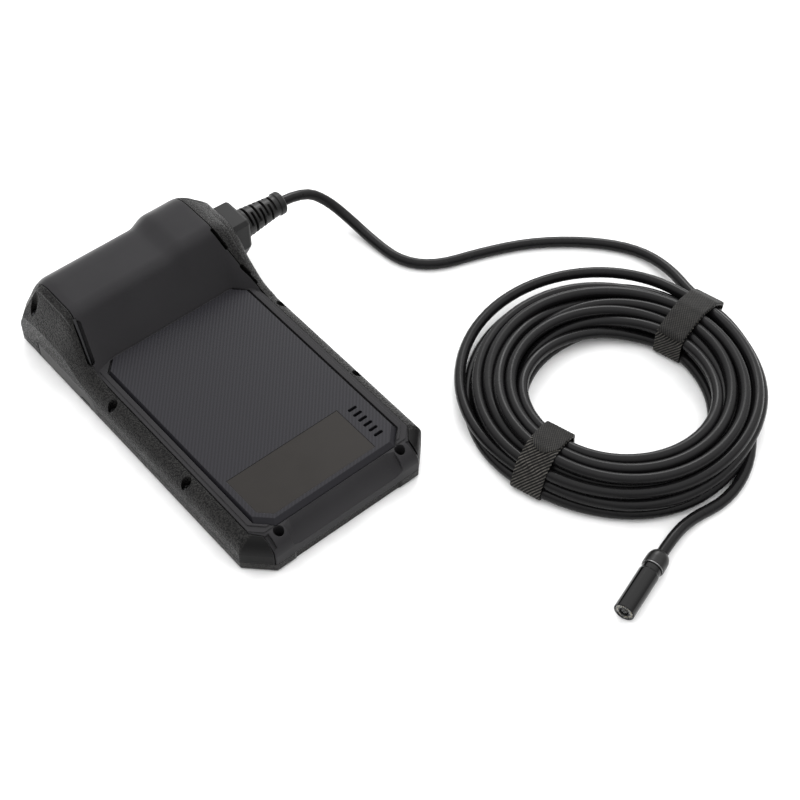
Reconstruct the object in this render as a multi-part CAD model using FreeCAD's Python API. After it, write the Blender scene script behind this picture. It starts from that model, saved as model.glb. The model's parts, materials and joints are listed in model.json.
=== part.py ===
import FreeCAD, Part
import math
import os
from FreeCAD import Vector as V

# Handheld inspection camera lying on its screen, with its probe cable coiled beside it.
# Millimetres, +Z up, +Y towards the hump end, +X towards the cable outlet.
# The origin is under the middle of the body, at the level of the rim that it rests on.

# ---- driving dimensions ----
WIDTH = 86.0
LENGTH = 160.0
NEAR_CORNER = 9.7
FAR_CORNER = 5.5
WALL = 2.2
BEZEL_TOP = 4.8
GASKET = 0.3
DECK_Z = 17.4
RAIL_Z = 16.6
PANEL_Z = 18.1
HUMP_Z = 38.0
CABLE_D = 4.5
PROBE_D = 8.0

# ---- housing ----
HALF_W = WIDTH / 2
HALF_L = LENGTH / 2
SHELL_Z = BEZEL_TOP + GASKET
RAIL_IN = HALF_W - 5.8
DECK_IN = RAIL_IN - 1.4
COVER_T = 1.6
PLATE_TOP = 14.4
PLATE_BOTTOM = PLATE_TOP - 1.5
LEDGE_Z = 2.6

# ---- seam between the centre cover and the textured sides ----
GROOVE_W = 0.4
GROOVE_Z = RAIL_Z - 0.8
# On each side, where the seam comes out on top of the hump: x and height.
SEAM_TOP = {-1: (34.6, 38.0), 1: (31.0, 38.4)}
# Where the seam leaves the rail for the near end, and how far it runs out and back there.
SEAM_END = (33.6, -73.4)
SEAM_CORNER = (7.0, 8.5)
# The notch beside each near corner: its x range from the seam's end, and its side profile.
NOTCH_X = (-1.6, 1.0)
NOTCH = [(-73.8, 18.0), (-73.8, 15.2), (-78.8, 12.0), (-79.6, 18.0)]

# ---- hump, in the plane of length and height ----
FAR_CENTRE_Y = 58.4
FAR_CENTRE_Z = 23.5
FAR_R = HUMP_Z - FAR_CENTRE_Z
SLOPE_FOOT_Y = 29.8
SLOPE_HEAD_Y = 42.4
SHOULDER_R = 6.5
STEP_RISE = 2.5
STEP_FROM = 8.3
STEP_TO = 17.4
# The foot of the slope comes forward towards its two ends.
FLARE_FROM = 28.5
FLARE = {-1: 0.35, 1: 0.9}

# ---- slots in the hump's seam: upper end, lower end, width, depth, and the way each one opens ----
LEFT_SLOT = (V(-35.3, 39.6, 35.2), V(-37.1, 29.8, 19.6))
LEFT_SLOT_W = 3.0
LEFT_SLOT_DEPTH = 3.4
LEFT_SLOT_OUT = V(-0.35, -0.75, 0.45).normalize()
RIGHT_SLOTS = [(V(30.6, 42.8, 39.9), V(33.2, 36.3, 31.6)), (V(35.1, 31.4, 25.5), V(38.0, 25.1, 17.9))]
RIGHT_SLOT_W = 1.6
RIGHT_SLOT_DEPTH = 2.6
RIGHT_SLOT_OUT = V(0.1, -0.7, 0.6).normalize()
# The bar in the left slot: its radius, its depth, its shift to one side, and how far its ends reach in.
BAR_R = 0.65
BAR_DEPTH = 1.6
BAR_SHIFT = 0.45
BAR_GRIP = 0.8

# ---- back panel and label ----
PANEL_HALF = 33.5
PANEL_NEAR = -70.9
PANEL_FAR = 29.3
PANEL_CUT = 4.6
PANEL_BOTTOM = PLATE_TOP + COVER_T
PANEL_GAP = 0.45
LABEL = (-30.2, 21.2, -69.2, -46.7)
VENT_X = (24.2, 28.2)
VENT_YS = [-49.9 - 3.05 * i for i in range(6)]
VENT_W = 1.3

# ---- screws: x, y, height of the head's seat ----
SCREWS = [(s * 40.4, 12.3, 10.2) for s in (-1, 1)]
SCREWS += [(s * 40.4, -35.4, 10.2) for s in (-1, 1)]
SCREWS += [(s * 28.3, -75.0, 9.4) for s in (-1, 1)]
SCREWS += [(-39.7, 64.2, 22.0), (39.4, 70.0, 12.0)]
HEAD_R = 1.75
HOLE_R = 2.05
SHANK_R = 0.95

# ---- cable outlet ----
GLAND_Y = 53.7
GLAND_Z = 20.5
GLAND_X = (HALF_W, HALF_W + 8.0)
SPIGOT_R = 4.0
NUT_R = 6.6
NUT_X = (30.2, 33.2)
RELIEF_X = (GLAND_X[1], 72.4)

# ---- coil and probe ----
COIL_X = 115.0
COIL_Y = -102.0
COIL_IN = 32.8
COIL_OUT = 60.6
COIL_H = 14.6
COIL_R = (COIL_IN + COIL_OUT) / 2
TIE_W = 13.0
TIE_T = 1.1
TIE_GAP = 0.1
# Each tie: where round the coil it sits, how far it is turned there, and the room at its outer end.
TIES = {"coil_tie_upper": (8.0, 5.1, 7.3), "coil_tie_lower": (188.5, 7.1, 1.2)}
TIE_CLEAR = 2.1
FLOOR = CABLE_D / 2
COLLAR_R = 4.3
PROBE_TIP = V(47.6, -174.25, COLLAR_R)
PROBE_TURN = 17.35
LENS_R = 1.7
TUBE_L = 22.4
COLLAR_L = 6.6
CAP_END = TUBE_L + COLLAR_L

# The cable's free stretches, as the corners of its runs.
PROBE_DIR = V(math.cos(math.radians(PROBE_TURN)), math.sin(math.radians(PROBE_TURN)), 0)
TAIL_END = PROBE_TIP + PROBE_DIR * CAP_END
LEAD_ROUTE = [
    V(RELIEF_X[1], GLAND_Y, GLAND_Z),
    V(84.0, GLAND_Y, 19.4),
    V(93.0, 50.0, 12.0),
    V(97.8, 40.5, 4.8),
    V(98.6, 26.0, FLOOR),
    V(99.6, 9.0, FLOOR),
    V(109.2, -2.7, FLOOR),
    V(128.6, -9.0, FLOOR),
    V(149.8, -18.6, FLOOR),
    V(168.9, -34.4, FLOOR),
    V(180.0, -50.6, 2.6),
    V(183.0, -67.0, 3.8),
    V(177.6, -86.0, 6.2),
    V(171.0, -108.0, 6.8),
    V(160.0, -128.0, 6.8),
]
TAIL_ROUTE = [
    V(147.0, -148.0, 4.4),
    V(130.5, -158.4, 3.0),
    V(113.0, -163.8, FLOOR),
    V(96.5, -160.7, FLOOR),
    TAIL_END + PROBE_DIR * 9.5,
    TAIL_END,
]


def export(shape, name):
    shape.exportStep("parts/" + name + ".step")
    print(name, "volume %.1f" % shape.Volume, "valid", shape.isValid(), "solids", len(shape.Solids))


def box(x0, x1, y0, y1, z0, z1):
    return Part.makeBox(x1 - x0, y1 - y0, z1 - z0, V(x0, y0, z0))


def cylinder(r, x, y, z0, z1):
    return Part.makeCylinder(r, z1 - z0, V(x, y, z0))


def wire(points):
    return Part.makePolygon([V(*p) for p in points] + [V(*points[0])])


def prism(points, z0, z1):
    face = Part.Face(wire([(x, y, z0) for x, y in points]))
    return face.extrude(V(0, 0, z1 - z0))


def prism_along_x(points, x0, x1):
    face = Part.Face(wire([(x0, y, z) for y, z in points]))
    return face.extrude(V(x1 - x0, 0, 0))


def prism_along_y(points, y0, y1):
    face = Part.Face(wire([(x, y0, z) for x, z in points]))
    return face.extrude(V(0, y1 - y0, 0))


def turned(profile, base=V(0, 0, 0), axis=V(0, 0, 1)):
    """A solid of revolution: profile holds (radius, height) points along the axis."""
    face = Part.Face(wire([(r, 0, z) for r, z in profile]))
    solid = face.revolve(V(0, 0, 0), V(0, 0, 1), 360)
    solid.Placement = FreeCAD.Placement(base, FreeCAD.Rotation(V(0, 0, 1), axis))
    return solid


def cut_corners(x0, x1, y0, y1, near, far):
    return [
        (x0 + near, y0), (x1 - near, y0), (x1, y0 + near),
        (x1, y1 - far), (x1 - far, y1), (x0 + far, y1), (x0, y1 - far), (x0, y0 + near),
    ]


def plan(inset):
    """The housing's outline seen from above, offset inwards by inset."""
    shrink = inset * (2 - math.sqrt(2))
    w, l = HALF_W - inset, HALF_L - inset
    return cut_corners(-w, w, -l, l, NEAR_CORNER - shrink, max(FAR_CORNER - shrink, 0.8))


def layered(insets, ruled=True):
    """A solid through the outline at each (inset, height)."""
    wires = [wire([(x, y, z) for x, y in plan(inset)]) for inset, z in insets]
    return Part.makeLoft(wires, True, ruled)


def rounded_box(x0, x1, y0, y1, z0, z1, r):
    solid = box(x0, x1, y0, y1, z0, z1)
    upright = [e for e in solid.Edges if abs(e.tangentAt(e.FirstParameter).z) > 0.9]
    return solid.makeFillet(r, upright)


def eased(t):
    t = min(1.0, max(0.0, t))
    return t * t * (3 - 2 * t)


# ---- outer form of the rear housing ----
def hump_section(x, rise):
    """The hump's side profile at x, with its top and far side pushed out by rise."""
    r = FAR_R + rise
    top = FAR_CENTRE_Z + r
    flare = max(0.0, abs(x) - FLARE_FROM) * FLARE[1 if x > 0 else -1]
    foot = V(x, SLOPE_FOOT_Y - flare, DECK_Z - 0.4)
    corner = V(x, SLOPE_HEAD_Y - 0.15 * rise, top)
    run = (foot - corner).normalize()
    flat = V(0, 1, 0)
    half = run.getAngle(flat) / 2
    reach = SHOULDER_R / math.tan(half)
    a = corner + run * reach
    b = corner + flat * reach
    middle = (run + flat).normalize()
    mid = corner + middle * (SHOULDER_R / math.sin(half) - SHOULDER_R)
    c = V(x, FAR_CENTRE_Y, top)
    slant = math.radians(20)
    d = V(x, FAR_CENTRE_Y + r * math.sin(slant * 2), FAR_CENTRE_Z + r * math.cos(slant * 2))
    e = V(x, FAR_CENTRE_Y + r * math.cos(math.radians(8)), FAR_CENTRE_Z + r * math.sin(math.radians(8)))
    low = V(x, HALF_L - 2.6, 8.0)
    base = V(x, SLOPE_FOOT_Y, 8.0)
    edges = [
        Part.LineSegment(base, foot), Part.LineSegment(foot, a), Part.Arc(a, mid, b),
        Part.LineSegment(b, c), Part.Arc(c, d, e), Part.LineSegment(e, low),
        Part.LineSegment(low, base),
    ]
    return Part.Wire([s.toShape() for s in edges])


def hump_rise(x):
    """How far the hump stands out at x: a step up to the right, and its two ends rounded off."""
    rise = STEP_RISE * eased((x - STEP_FROM) / (STEP_TO - STEP_FROM))
    right_edge = max(0.0, x - 30.0)
    left_edge = max(0.0, -30.5 - x)
    return rise - 0.06 * right_edge ** 2 - 0.05 * left_edge ** 2


def hump():
    step = (STEP_TO - STEP_FROM) / 6
    xs = [-37.5, -35.5, -33.0, -31.3, -29.7, -27.5, -20.0, -6.0, 2.0, 5.5]
    xs += [STEP_FROM + step * i for i in range(7)]
    xs += [20.5, 24.0, 27.5, 29.7, 31.3, 33.5, 35.5, 37.5]
    return Part.makeLoft([hump_section(x, hump_rise(x)) for x in xs], True, False)


# Each cheek's outline across x at its full height, and its growth: y, inner edge, outer edge.
LEFT_CHEEK = [
    (43.4, 8.0), (43.4, 13.0), (43.3, 17.6), (42.3, 21.2), (39.9, 27.6), (37.4, 34.0), (33.0, 37.8),
]
LEFT_GROWTH = [
    (13, -0.04, -0.04), (18, 0.0, 0.0), (23, 0.06, 0.06), (28, 0.15, 0.15), (32, 0.32, 0.3),
    (35, 0.52, 0.5), (38, 0.74, 0.74), (41, 0.88, 0.9), (45, 0.965, 1.0), (52, 1.0, 1.03),
    (62, 1.0, 1.0), (72, 1.0, 0.96), (HALF_L + 2, 1.0, 0.95),
]
RIGHT_CHEEK = [
    (43.4, 8.0), (43.4, 15.0), (43.3, 22.0), (42.9, 29.0), (41.4, 34.0), (36.8, 37.7), (30.0, 40.6),
]
RIGHT_GROWTH = [
    (13, -0.04, -0.04), (18, 0.0, 0.0), (23, 0.08, 0.05), (28, 0.23, 0.14), (32, 0.40, 0.29),
    (35, 0.51, 0.42), (38, 0.63, 0.58), (41, 0.81, 0.78), (45, 0.95, 0.94), (52, 1.0, 1.0),
    (62, 1.0, 1.0), (72, 1.0, 1.0), (HALF_L + 2, 1.0, 1.0),
]


def cheek(side, top, high, stations):
    """
    Textured flank of the hump, growing out of the rail: sections across x, taken along y.
    Each station gives how far the section has grown from the rail's to the full height, at its inner
    edge and at its outer edge.
    """
    low = [(43.4, 6.2), (43.3, 7.8), (43.1, 9.4), (42.6, 11.6), (41.5, 14.0), (39.6, 15.7), (36.6, 16.7)]
    root = SHELL_Z + 0.7
    wires = []
    for y, inner_part, outer_part in stations:
        pts = []
        for i, ((a, b), (c, d)) in enumerate(zip(low, high)):
            t = outer_part + (inner_part - outer_part) * max(0, i - 3) / 3
            pts.append(V(side * (a + (c - a) * t), y, b + (d - b) * t))
        curve = Part.BSplineCurve()
        curve.interpolate(pts)
        foot = V(side * 43.4, y, root)
        inner = V(pts[-1].x, y, root)
        sides = [Part.makeLine(inner, foot), Part.makeLine(foot, pts[0]), curve.toShape()]
        sides.append(Part.makeLine(pts[-1], inner))
        wires.append(Part.Wire(sides))
    flank = Part.makeLoft(wires, True, False)
    r = top - FAR_CENTRE_Z
    rear = [(10, SHELL_Z), (10, 50), (FAR_CENTRE_Y, 50), (FAR_CENTRE_Y, top)]
    rear += [
        (FAR_CENTRE_Y + r * math.sin(math.radians(a)), FAR_CENTRE_Z + r * math.cos(math.radians(a)))
        for a in range(6, 85, 6)
    ]
    rear += [(HALF_L - 2.6, 9.5), (HALF_L - 1.2, SHELL_Z)]
    corners = [(SHELL_Z, FAR_CORNER), (13.0, 7.2), (20.0, 10.4), (27.0, 15.5), (45.0, 30.0)]
    rings = [
        wire([(x, y, z) for x, y in cut_corners(-HALF_W, HALF_W, -HALF_L, HALF_L, NEAR_CORNER, cut)])
        for z, cut in corners
    ]
    outline = Part.makeLoft(rings, True, True)
    return flank.common(prism_along_x(rear, side * 28, side * 45)).common(outline)


def seam_tool(gap):
    """The space of the smooth centre piece between the textured sides, with a groove of gap beside it."""
    sides = {}
    for s, (x, z) in SEAM_TOP.items():
        sides[s] = [(s * RAIL_IN, 0)]
        if gap:
            sides[s] += [(s * RAIL_IN, GROOVE_Z), (s * (RAIL_IN + gap), GROOVE_Z)]
        sides[s] += [(s * (RAIL_IN + gap), PANEL_Z), (s * (x + gap), z), (s * (x - 0.4 + gap), 50)]
    between = prism_along_y(sides[1] + sides[-1][::-1], -HALF_L - 5, HALF_L + 5)
    x, y = SEAM_END
    out, back = SEAM_CORNER
    run = [(x + gap, -HALF_L - 5), (x + gap, y), (x + gap + out, y + back), (60, y + back), (60, HALF_L + 5)]
    return between.common(prism(run + [(-x, y) for x, y in reversed(run)], -1, 55))


def lower_form():
    """The housing's walls up to the rails, with their rounded upper edge."""
    walls = prism(plan(0), SHELL_Z, 9.4)
    crown = layered([(0, 9.4), (0.25, 11.2), (1.2, 13.4), (2.9, 15.2), (4.4, 16.1), (5.6, RAIL_Z)], False)
    return walls.fuse(crown)


def deck():
    """The border round the panel: two small steps above the rails."""
    near = -HALF_L + 7.2
    first = prism(cut_corners(-RAIL_IN, RAIL_IN, near, 40, 4.2, 1.0), 12, DECK_Z - 0.4)
    second = prism(cut_corners(-DECK_IN, DECK_IN, near + 1.3, 40, 4.8, 1.0), 12, DECK_Z)
    return first.fuse(second)


def end_bar_trough():
    """The shallow scoop along the near end bar, between its two screws."""
    low, high = V(0, -79.7, 9.2), V(0, -73.4, 16.4)
    chord = high - low
    sag = 0.9
    r = chord.Length ** 2 / (8 * sag) + sag / 2
    out = V(0, -chord.z, chord.y).normalize()
    centre = (low + high) * 0.5 + out * (r - sag)
    flat = 22.5
    ends = 3.2
    half = [(r, flat), (r - 1.2, flat + ends), (0, flat + ends)]
    profile = [(a, -b) for a, b in reversed(half)] + half
    return turned(profile, centre, V(1, 0, 0))


def slot(start, end, width, depth, out):
    """A narrow pocket with round ends, from start to end, sunk by depth against out."""
    across = (end - start).normalize().cross(out).normalize() * (width / 2)
    along = (end - start).normalize() * (width / 2)
    a, b = start + along + out * 2, end - along + out * 2
    rim = [
        Part.makeLine(a - across, b - across), Part.Arc(b - across, b + along, b + across).toShape(),
        Part.makeLine(b + across, a + across), Part.Arc(a + across, a - along, a - across).toShape(),
    ]
    return Part.Face(Part.Wire(rim)).extrude(out * -(depth + 2))


def seam_slots():
    left = slot(LEFT_SLOT[0], LEFT_SLOT[1], LEFT_SLOT_W, LEFT_SLOT_DEPTH, LEFT_SLOT_OUT)
    right = [slot(a, b, RIGHT_SLOT_W, RIGHT_SLOT_DEPTH, RIGHT_SLOT_OUT) for a, b in RIGHT_SLOTS]
    return left.fuse(right + [strap_bar(0.05)])


def screw_holes():
    holes = []
    for x, y, seat in SCREWS:
        holes.append(cylinder(HOLE_R, x, y, seat, 45))
        holes.append(cylinder(SHANK_R + 0.1, x, y, LEDGE_Z, seat))
    return holes[0].fuse(holes[1:])


def cable_outlet():
    """The hole that the gland's spigot passes through."""
    return Part.makeCylinder(SPIGOT_R + 0.2, 20, V(29, GLAND_Y, GLAND_Z), V(1, 0, 0))


def panel_points(x, near, far):
    return cut_corners(-x, x, near, far, PANEL_CUT + 1.2, PANEL_CUT)


def corner_notches():
    """A small wedge-shaped notch in the cover beside each textured near corner."""
    x0, x1 = SEAM_END[0] + NOTCH_X[0], SEAM_END[0] + NOTCH_X[1]
    return [prism_along_x(NOTCH, x0, x1), prism_along_x(NOTCH, -x1, -x0)]


def centre_cover(form):
    cover = form.common(seam_tool(0))
    pocket = prism(panel_points(PANEL_HALF + PANEL_GAP, PANEL_NEAR - 2.2, PANEL_FAR + 0.2), PANEL_BOTTOM, 22)
    t = 2.0
    under = [
        (-HALF_L + t, 0), (-HALF_L + t, 9.5), (-HALF_L + 6.4, PLATE_TOP), (SLOPE_FOOT_Y + 2.8, PLATE_TOP),
        (SLOPE_FOOT_Y + 4.0, DECK_Z), (SLOPE_HEAD_Y + 2.8, HUMP_Z - t), (FAR_CENTRE_Y, HUMP_Z - t),
        (FAR_CENTRE_Y + 9.0, HUMP_Z - t - 3.6), (FAR_CENTRE_Y + 12.0, FAR_CENTRE_Z + 2), (HALF_L - 4.8, 0),
    ]
    below = prism_along_x(under, -RAIL_IN - 1, RAIL_IN + 1)
    inside = {s: [(s * (RAIL_IN - 1.6), 0), (s * (RAIL_IN - 1.6), RAIL_Z), (s * (x - 2.4), HUMP_Z)]
              for s, (x, z) in SEAM_TOP.items()}
    hump_room = prism_along_y(inside[1] + inside[-1][::-1], SLOPE_FOOT_Y, HALF_L)
    deck_room = box(-RAIL_IN - 1, RAIL_IN + 1, -HALF_L, FAR_CENTRE_Y + 12, 0, PLATE_TOP)
    corner_keep = box(-RAIL_IN - 1, RAIL_IN + 1, -HALF_L, -HALF_L + 9.2, 0, PLATE_TOP)
    end_half = SEAM_END[0] - 2.4
    corner_room = box(-end_half, end_half, -HALF_L, -HALF_L + 9.2, 0, PLATE_TOP)
    bosses = [cylinder(3.3, x, y, SHELL_Z, PLATE_TOP) for x, y, z in SCREWS if abs(x) < RAIL_IN]
    room = below.common(hump_room.fuse([deck_room.cut(corner_keep), corner_room]))
    cover = cover.cut(room.cut(bosses[0].fuse(bosses[1:])))
    slots = [
        rounded_box(VENT_X[0], VENT_X[1], y - VENT_W / 2, y + VENT_W / 2, PLATE_TOP - 1, 22, 0.6)
        for y in VENT_YS
    ]
    mesh_room = box(*mesh_box(0.1))
    nut_seat = Part.makeCylinder(NUT_R + 0.4, 5, V(NUT_X[1] - 4.95, GLAND_Y, GLAND_Z), V(1, 0, 0))
    cover = cover.cut(pocket).cut(end_bar_trough()).cut([mesh_room, cable_outlet(), nut_seat])
    return cover.cut(seam_slots()).cut(screw_holes()).cut(slots + corner_notches())


def rear_housing(form):
    """The textured sides, joined under the centre cover by a plate."""
    sides = form.cut(seam_tool(GROOVE_W))
    plate = box(-RAIL_IN - 1, RAIL_IN + 1, -HALF_L + 9.5, SLOPE_FOOT_Y + 2.6, PLATE_BOTTOM, PLATE_TOP - 0.05)
    hollow = []
    for s in (-1, 1):
        x0, x1 = sorted((s * (RAIL_IN - 1), s * (HALF_W - WALL)))
        hollow.append(box(x0, x1, -66.0, 76.0, 0, 9.0))
        x0, x1 = sorted((s * 34.0, s * 39.4))
        hollow.append(box(x0, x1, 47.0, 66.0, 0, 19.0))
    keep = [cylinder(3.1, x, y, 0, seat + 20) for x, y, seat in SCREWS if abs(x) > RAIL_IN]
    hollow = hollow[0].fuse(hollow[1:]).cut(keep[0].fuse(keep[1:]))
    housing = sides.cut(hollow).fuse(plate)
    slots = box(VENT_X[0] - 0.2, VENT_X[1] + 0.2, VENT_YS[-1] - 1, VENT_YS[0] + 1, 10, 16)
    ports = [box(-45, -36, y0, y1, 0, top) for y0, y1, top in (USB_HOLE, CARD_HOLE)]
    housing = housing.cut(screw_holes()).cut(seam_slots()).cut([slots, cable_outlet()] + ports)
    housing = housing.cut([flap_space(0.15), gland_space()])
    return max(housing.Solids, key=lambda solid: solid.Volume)


# ---- port flap and what it covers ----
FLAP_Y = (21.6, 61.8)
FLAP_Z = (2.0, 9.2)
FLAP_T = 1.6
BEAD_R = 0.8
USB_HOLE = (44.2, 53.6, 8.3)
CARD_HOLE = (27.0, 39.0, 7.5)


def flap_outline(gap):
    y0, y1 = FLAP_Y[0] - gap, FLAP_Y[1] + gap
    z0, z1 = FLAP_Z[0] - gap, FLAP_Z[1] + gap
    return [(y0, z0), (y1, z0), (y1, z1), (y0 + 4.5, z1), (y0 + 1.2, z1 - 2.2)]


def flap_bead(gap):
    """The round edge that the flap swings on."""
    return cylinder(BEAD_R + gap, -HALF_W + BEAD_R, FLAP_Y[1], FLAP_Z[0] - gap, FLAP_Z[1] + gap)


def flap_space(gap):
    pocket = prism_along_x(flap_outline(gap), -HALF_W - 1, -HALF_W + FLAP_T)
    return pocket.fuse(flap_bead(2 * gap))


def port_flap():
    skin = prism_along_x(flap_outline(0), -HALF_W, -HALF_W + FLAP_T - 0.1).fuse(flap_bead(0))
    plugs = [
        rounded_plug(-HALF_W + FLAP_T - 0.1, 45.0, 52.8, 5.3, 8.0),
        rounded_plug(-HALF_W + FLAP_T - 0.1, 27.6, 38.4, 5.4, 7.2),
    ]
    low, near = FLAP_Z[0] + 0.8, FLAP_Y[0] + 5
    nail = box(-HALF_W - 1, -HALF_W + 0.5, near, near + 6, low, low + 1.0)
    return skin.fuse(plugs).cut(nail)


def rounded_plug(x, y0, y1, z0, z1):
    plug = box(x, x + 0.8, y0, y1, z0, z1)
    along = [e for e in plug.Edges if abs(e.tangentAt(e.FirstParameter).x) > 0.9]
    return plug.makeFillet((z1 - z0) * 0.4, along)


# ---- front bezel, screen and keys ----
GLASS = (-34.5, 34.5, -73.0, 35.0)
VIEW = (-27.4, 27.4, -67.0, 29.5)
KEYS = {
    "power_key": (0.0, 56.5, 5.2),
    "up_key": (0.0, 67.5, 3.6),
    "down_key": (0.0, 45.5, 3.6),
    "zoom_key": (-13.0, 56.5, 3.6),
    "light_key": (13.0, 56.5, 3.6),
    "photo_key": (-25.0, 63.5, 4.2),
    "turn_key": (25.0, 63.5, 4.2),
}
KEY_FACE = 0.25
KEY_TRAVEL = 0.6
KEY_TOP = 3.9
KEY_GAP = 0.25
MAT_Z = KEY_TOP + KEY_TRAVEL + 0.15


def bezel():
    body = layered([(1.5, 0), (0.5, 0.45), (0, 1.5)]).fuse(prism(plan(0), 1.5, BEZEL_TOP))
    room = prism(plan(WALL + 0.6), LEDGE_Z, BEZEL_TOP + 1)
    posts = [cylinder(3.0, x, y, LEDGE_Z, BEZEL_TOP) for x, y, seat in SCREWS]
    room = room.cut(posts[0].fuse(posts[1:]))
    x0, x1, y0, y1 = GLASS
    glass_room = rounded_box(x0 - 0.15, x1 + 0.15, y0 - 0.15, y1 + 0.15, -1, 1.55, 3.0)
    view = box(VIEW[0], VIEW[1], VIEW[2], VIEW[3], -1, LEDGE_Z + 1)
    key_field = rounded_box(-33.0, 33.0, 38.5, 74.5, -1, 0.6, 6.0)
    dent = prism([(-25.5, -HALF_L - 1), (25.5, -HALF_L - 1), (25.5, -HALF_L), (24.0, -HALF_L + 0.9),
                  (-24.0, -HALF_L + 0.9), (-25.5, -HALF_L)], -1, BEZEL_TOP + 1)
    holes = [cylinder(r + KEY_GAP, x, y, -1, LEDGE_Z + 1) for x, y, r in KEYS.values()]
    pilots = [cylinder(SHANK_R + 0.05, x, y, 1.4, BEZEL_TOP + 1) for x, y, seat in SCREWS]
    ports = [box(-45, -36, y0, y1, 3.4, 6) for y0, y1, top in (USB_HOLE, CARD_HOLE)]
    body = body.cut(room).cut([glass_room, view, key_field, dent]).cut(holes + pilots + ports)
    return body.cut(flap_space(0.15))


def key(x, y, r):
    cap = turned([(0, KEY_FACE + 0.15), (r * 0.55, KEY_FACE), (r - 0.5, KEY_FACE), (r, KEY_FACE + 0.5),
                  (r, LEDGE_Z + 0.1), (r + 0.9, LEDGE_Z + 0.1), (r + 0.9, LEDGE_Z + 0.7),
                  (1.6, LEDGE_Z + 0.7), (1.6, KEY_TOP), (0, KEY_TOP)])
    cap.translate(V(x, y, 0))
    return cap


def key_mat():
    """Rubber sheet with a dome over each switch; the keys push it."""
    mat = rounded_box(-32.5, 32.5, 39.5, 73.5, MAT_Z, MAT_Z + 0.5, 4.0)
    dome = [(0, MAT_Z + 0.4), (2.6, MAT_Z + 0.4), (1.7, MAT_Z + 1.1), (0, MAT_Z + 1.1)]
    return mat.fuse([turned(dome, V(x, y, 0)) for x, y, r in KEYS.values()])


def key_board():
    base = KEY_BOARD_Z
    board = rounded_box(-32.0, 32.0, 40.0, 73.0, base, base + KEY_BOARD_T, 2.0)
    switches = [cylinder(2.2, x, y, base - 0.6, base) for x, y, r in KEYS.values()]
    return board.fuse(switches)


def screen_glass():
    return rounded_box(GLASS[0], GLASS[1], GLASS[2], GLASS[3], 0.35, 1.45, 2.9)


def display():
    can = box(-32.5, 32.5, -70.5, 34.5, LEDGE_Z + 0.3, LEDGE_Z + 3.2)
    lip = box(-29.0, 29.0, -69.0, 33.0, LEDGE_Z + 2.6, LEDGE_Z + 4)
    tail = box(-12.0, 12.0, -73.4, -70.5, LEDGE_Z + 0.6, LEDGE_Z + 0.9)
    return can.cut(lip).fuse([tail, box(-28.5, 28.5, -68.5, 32.5, LEDGE_Z + 2.5, LEDGE_Z + 3.0)])


def display_gasket():
    outer = box(-31.5, 31.5, -70.0, 34.0, LEDGE_Z, LEDGE_Z + 0.3)
    return outer.cut(box(-28.0, 28.0, -67.6, 30.2, LEDGE_Z - 1, LEDGE_Z + 1))


# ---- electronics ----
BOARD_Z = 7.2
BOARD_T = 1.2


def main_board():
    top = BOARD_Z + BOARD_T
    board = rounded_box(-33.5, 33.5, -66.0, 36.0, BOARD_Z, top, 2.0)
    parts = [(-8, 8, -4, 12, 1.2), (-22, -12, -10, 0, 1.0), (14, 22, -6, 6, 0.9), (-26, -16, 12, 18, 1.6),
             (-6, 6, -26, -18, 1.0), (16, 26, -28, -20, 2.2), (-28, -20, -40, -32, 2.6)]
    chips = [box(x0, x1, y0, y1, top - 0.01, top + h) for x0, x1, y0, y1, h in parts]
    return board.fuse(chips)


def side_board():
    """A small board in the hump's left side that carries the two sockets."""
    return box(-37.0, -33.8, 24.5, 56.0, 8.55, 9.35).cut(cylinder(3.6, -40.4, 60.0, 0, 30))


def usb_socket():
    shell = box(-40.6, -33.9, 44.8, 53.0, 5.3, 8.4)
    along = [e for e in shell.Edges if abs(e.tangentAt(e.FirstParameter).x) > 0.9]
    shell = shell.makeFillet(1.4, along)
    mouth = box(-41.0, -35.2, 45.3, 52.5, 5.8, 7.9)
    along = [e for e in mouth.Edges if abs(e.tangentAt(e.FirstParameter).x) > 0.9]
    tongue = box(-40.0, -34.0, 46.2, 51.6, 6.5, 7.2)
    return shell.cut(mouth.makeFillet(1.0, along)).fuse(tongue)


def card_socket():
    shell = box(-40.5, -33.9, 27.2, 38.8, 5.2, 6.9)
    return shell.cut(box(-41.0, -34.9, 27.7, 38.3, 5.5, 6.6))


def speaker():
    x, y = (VENT_X[0] + VENT_X[1]) / 2, (VENT_YS[0] + VENT_YS[-1]) / 2
    can = rounded_box(x - 4.5, x + 4.5, y - 8.5, y + 8.5, BOARD_Z + BOARD_T + 0.1, PLATE_BOTTOM - 0.4, 2.0)
    ring = rounded_box(x - 3.4, x + 3.4, y - 7.4, y + 7.4, PLATE_BOTTOM - 1.0, PLATE_BOTTOM, 1.5)
    dome = rounded_box(x - 2.6, x + 2.6, y - 6.6, y + 6.6, PLATE_BOTTOM - 1.4, PLATE_BOTTOM - 0.6, 1.2)
    return can.cut(ring).fuse(dome)


def mesh_box(gap):
    x0, x1 = VENT_X[0] - 0.9 - gap, VENT_X[1] + 0.9 + gap
    y0, y1 = VENT_YS[-1] - 1.4 - gap, VENT_YS[0] + 1.4 + gap
    return x0, x1, y0, y1, PLATE_TOP - gap, PLATE_TOP + 0.3


def vent_mesh():
    """Dust cloth held between the cover and the plate, behind the slots."""
    return box(*mesh_box(0))


CELL_Y = 56.5
CELL_Z = 22.8
CELL_R = 9.2
CELL_X = (-31.0, 18.8)
KEY_BOARD_Z = 6.55
KEY_BOARD_T = 1.0


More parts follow.
